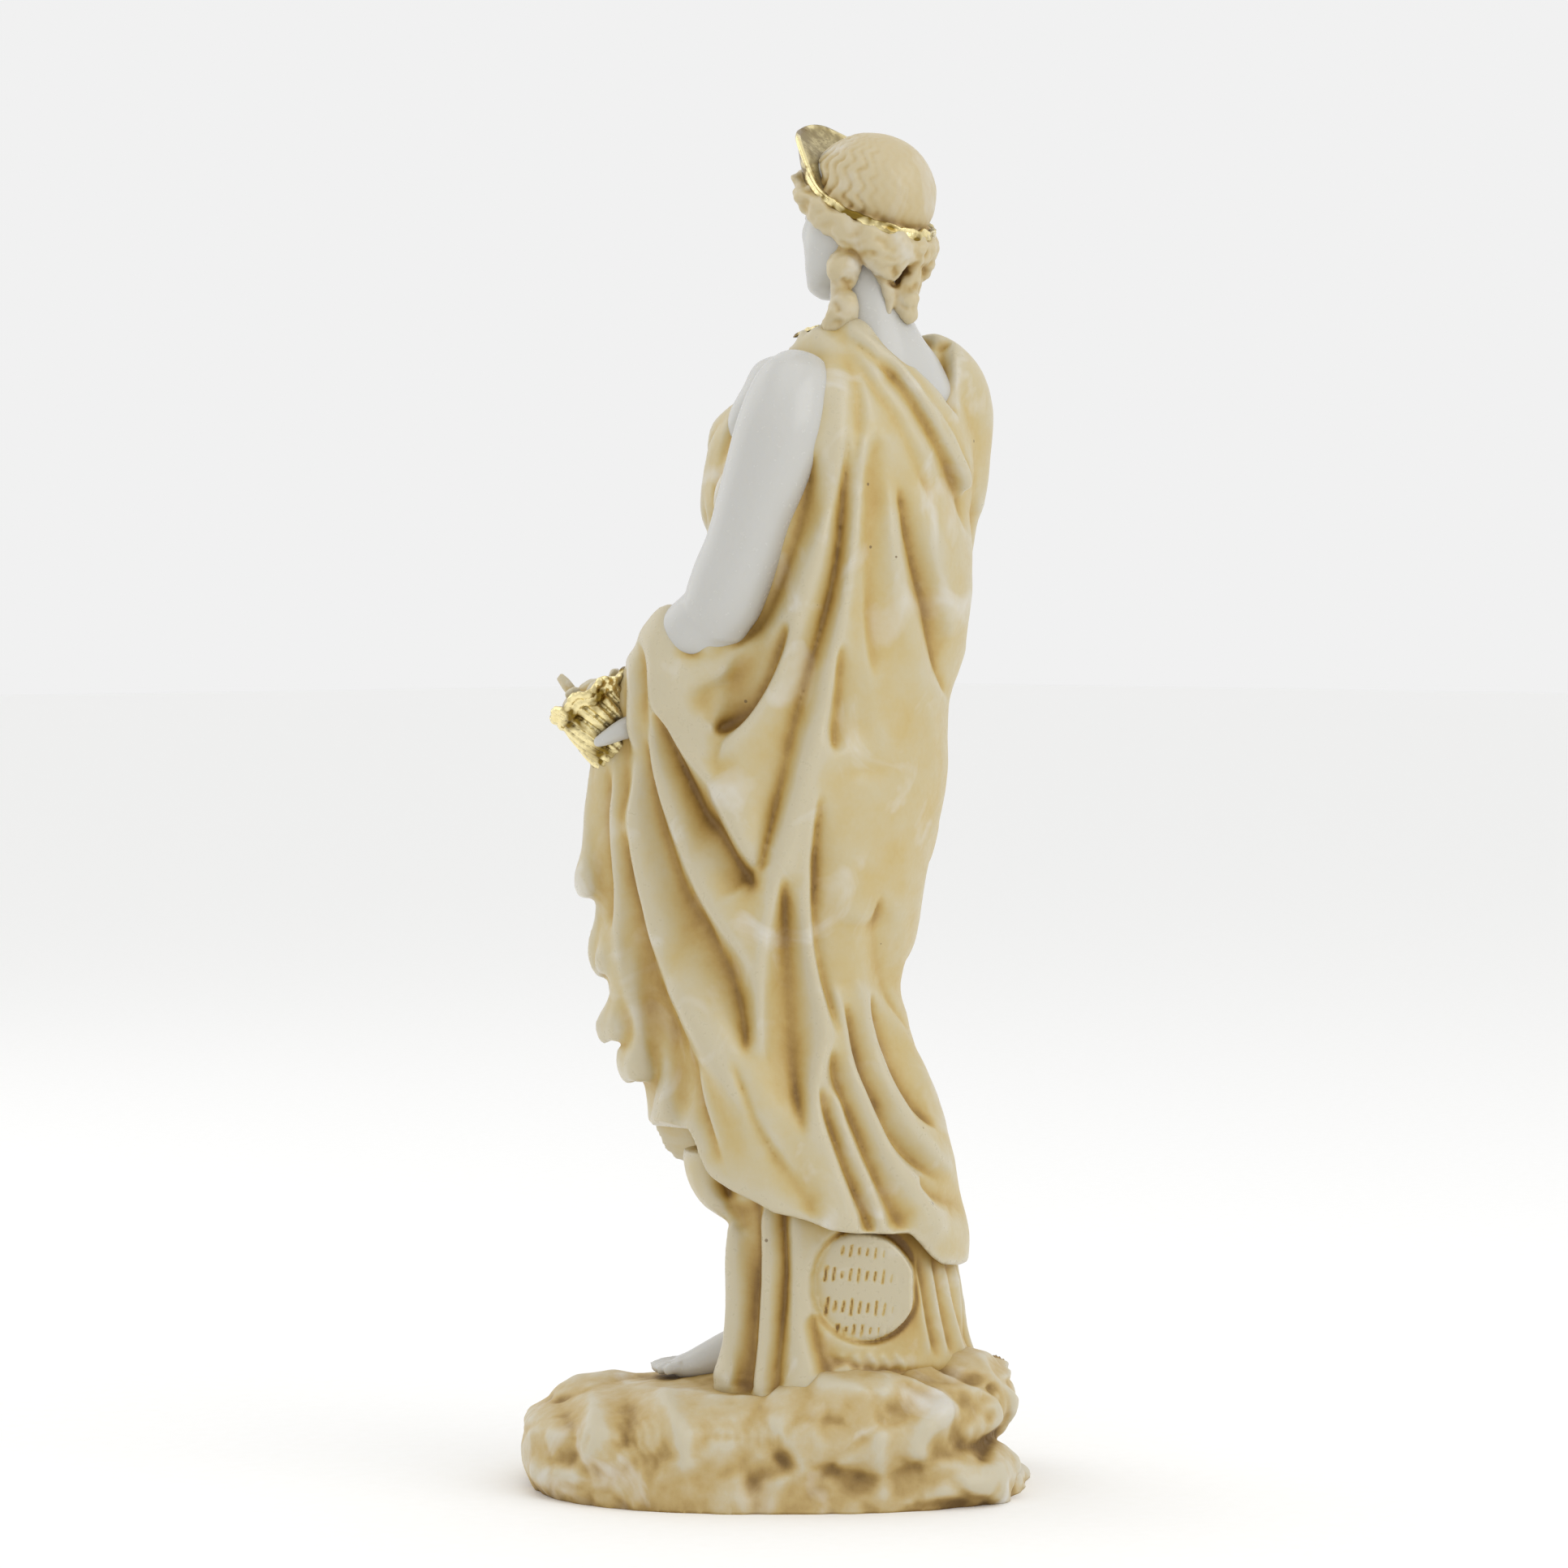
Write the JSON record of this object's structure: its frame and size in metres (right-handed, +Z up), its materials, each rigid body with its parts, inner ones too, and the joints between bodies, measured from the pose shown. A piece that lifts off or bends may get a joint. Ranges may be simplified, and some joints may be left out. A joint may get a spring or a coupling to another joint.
{
  "type": "draped goddess statue",
  "caption": "Standing draped goddess with a crest diadem and a horn of fruit, cast in one piece with its rock base.",
  "frame": {"origin": "centre of the rock's footprint on the underside", "axes": "+Z up; the figure faces -Y; +X is to the figure's left"},
  "size_m": [0.0956, 0.0966, 0.26],
  "materials": {
    "alabaster": "cast alabaster, softly polished: white skin, cream cloth with ochre patina in the folds, gilt diadem and horn"
  },
  "bodies": {
    "root": {"goddess_statue": "alabaster"}
  },
  "joints": []
}
